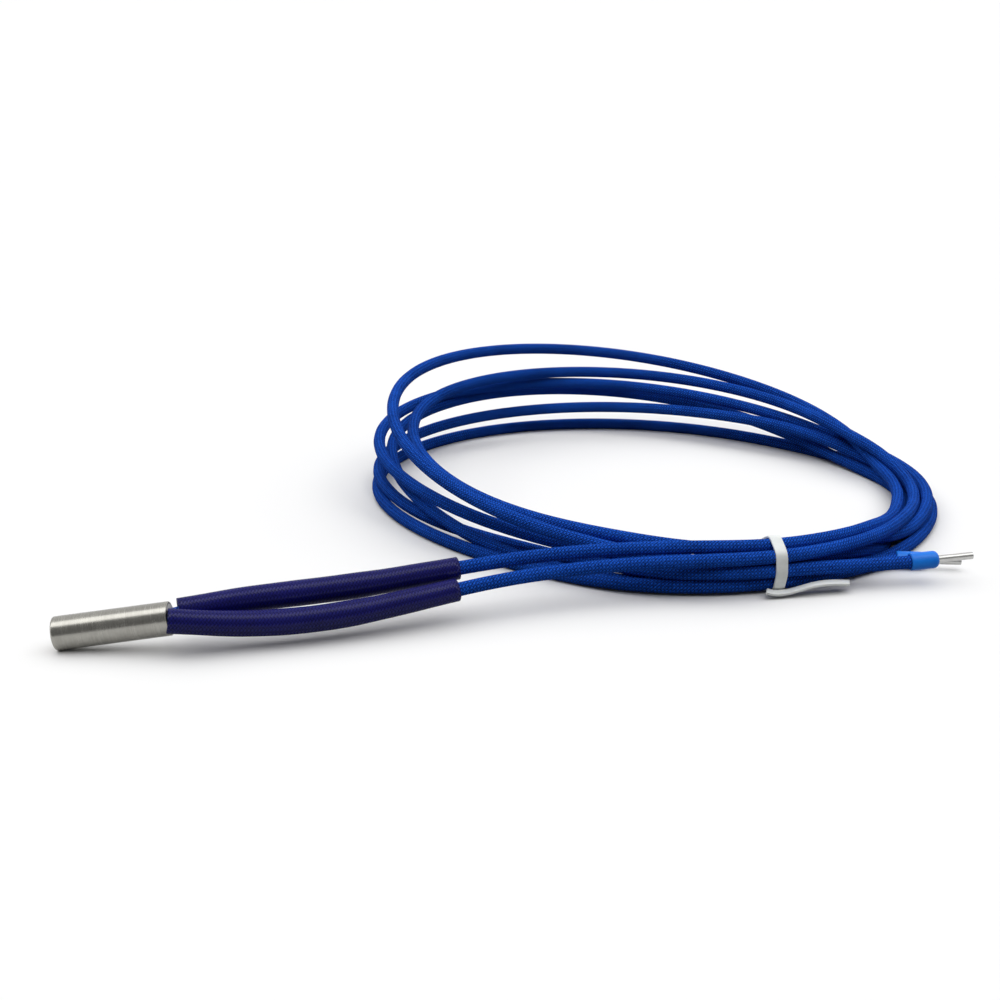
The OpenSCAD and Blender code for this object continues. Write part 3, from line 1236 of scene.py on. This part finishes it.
@dataclass
class Studio:
    """The camera, the floor and the light."""

    eye: Triple = (0.067, -0.2835, 0.1127)
    down: float = 16.8
    lens: float = 63.0
    near: float = 0.01
    floor_size: float = 16.0
    floor_tone: float = 0.94
    floor_bounce: float = 0.3
    floor_roughness: float = 0.9
    floor_gloss: float = 0.1
    sky: float = 0.1
    gleam: float = 0.95
    sun_power: float = 3.07
    sun_spread: float = 112.0
    sun_lean: float = -6.0
    cards: tuple[Card, ...] = (
        Card("dark_card", (0.05, -0.42, 0.36), 90.0, (1.6, 0.72), 0.2),
        Card("light_card", (0.05, -0.07, 0.6), 0.0, (3.0, 0.38), 2.9),
    )

    def build(self) -> None:
        """Makes the studio."""
        self.camera()
        self.floor()
        self.lamp()
        for card in self.cards:
            self.card(card)
        self.world()

    def camera(self) -> None:
        """Puts the camera where the photograph was taken from."""
        data = bpy.data.cameras.new("camera")
        data.lens = self.lens
        data.clip_start = self.near
        camera = bpy.data.objects.new("camera", data)
        camera.location = self.eye
        camera.rotation_euler = (math.radians(90 - self.down), 0.0, 0.0)
        bpy.context.collection.objects.link(camera)
        bpy.context.scene.camera = camera

    def floor(self) -> None:
        """Lays the floor, which shows white and lights the part from below only a little."""
        bpy.ops.object.select_all(action="DESELECT")
        bpy.ops.mesh.primitive_plane_add(size=self.floor_size)
        floor = bpy.context.object
        floor.name = "floor"
        shader = Shader("floor")
        shown = shader.ray("Camera")
        for kind in ("Glossy", "Transmission"):
            shown = shown.math("MAXIMUM", shader.ray(kind))
        material = shader.surface(
            Base_Color=shader.mix(shown, (self.floor_bounce,) * 3, (self.floor_tone,) * 3),
            Roughness=self.floor_roughness,
            Specular_IOR_Level=self.floor_gloss,
        )
        floor.data.materials.append(material)

    def lamp(self) -> None:
        """Lights the scene from above with one wide soft light."""
        data = bpy.data.lights.new("lamp", "SUN")
        data.energy = self.sun_power
        data.angle = math.radians(self.sun_spread)
        lamp = bpy.data.objects.new("lamp", data)
        lamp.rotation_euler = (math.radians(self.sun_lean), 0.0, 0.0)
        lamp.visible_glossy = False
        bpy.context.collection.objects.link(lamp)

    def card(self, card: Card) -> None:
        """Hangs one card, which only reflections show.

        Args:
            card: The card's numbers.
        """
        bpy.ops.object.select_all(action="DESELECT")
        bpy.ops.mesh.primitive_plane_add(size=1.0)
        piece = bpy.context.object
        piece.name = card.name
        piece.location = card.at
        piece.rotation_euler = (math.radians(card.turn), 0.0, 0.0)
        piece.scale = (*card.size, 1.0)
        piece.visible_camera = False
        piece.visible_diffuse = False
        piece.visible_shadow = False
        piece.visible_transmission = False
        shader = Shader(card.name)
        material = shader.surface(Base_Color=BLACK, Emission_Color=WHITE, Emission_Strength=card.level)
        piece.data.materials.append(material)

    def world(self) -> None:
        """Lights the scene evenly, and shows white behind it."""
        world = bpy.data.worlds.new("studio")
        world.use_nodes = True
        nodes = Nodes(world.node_tree)
        shown = nodes.value("ShaderNodeBackground", {"Color": WHITE, "Strength": self.sky})
        for kind, level in (("Glossy", self.gleam), ("Transmission", 1.0), ("Camera", 1.0)):
            light = nodes.value("ShaderNodeBackground", {"Color": WHITE, "Strength": level})
            shown = nodes.value("ShaderNodeMixShader", {0: nodes.ray(kind), 1: shown, 2: light})
        nodes.node("ShaderNodeOutputWorld", {"Surface": shown})
        bpy.context.scene.world = world
        bpy.context.scene.view_settings.view_transform = "Standard"


def main() -> None:
    """Builds the studio and every piece in order."""
    logging.basicConfig(level=logging.INFO, format="%(name)s: %(message)s")
    wardrobe = Wardrobe()
    Studio().build()
    lines = Leads().build(wardrobe)
    BundleStrap(lines=lines).build(wardrobe)
    Cartridge().build(wardrobe)


if __name__ == "__main__":
    main()
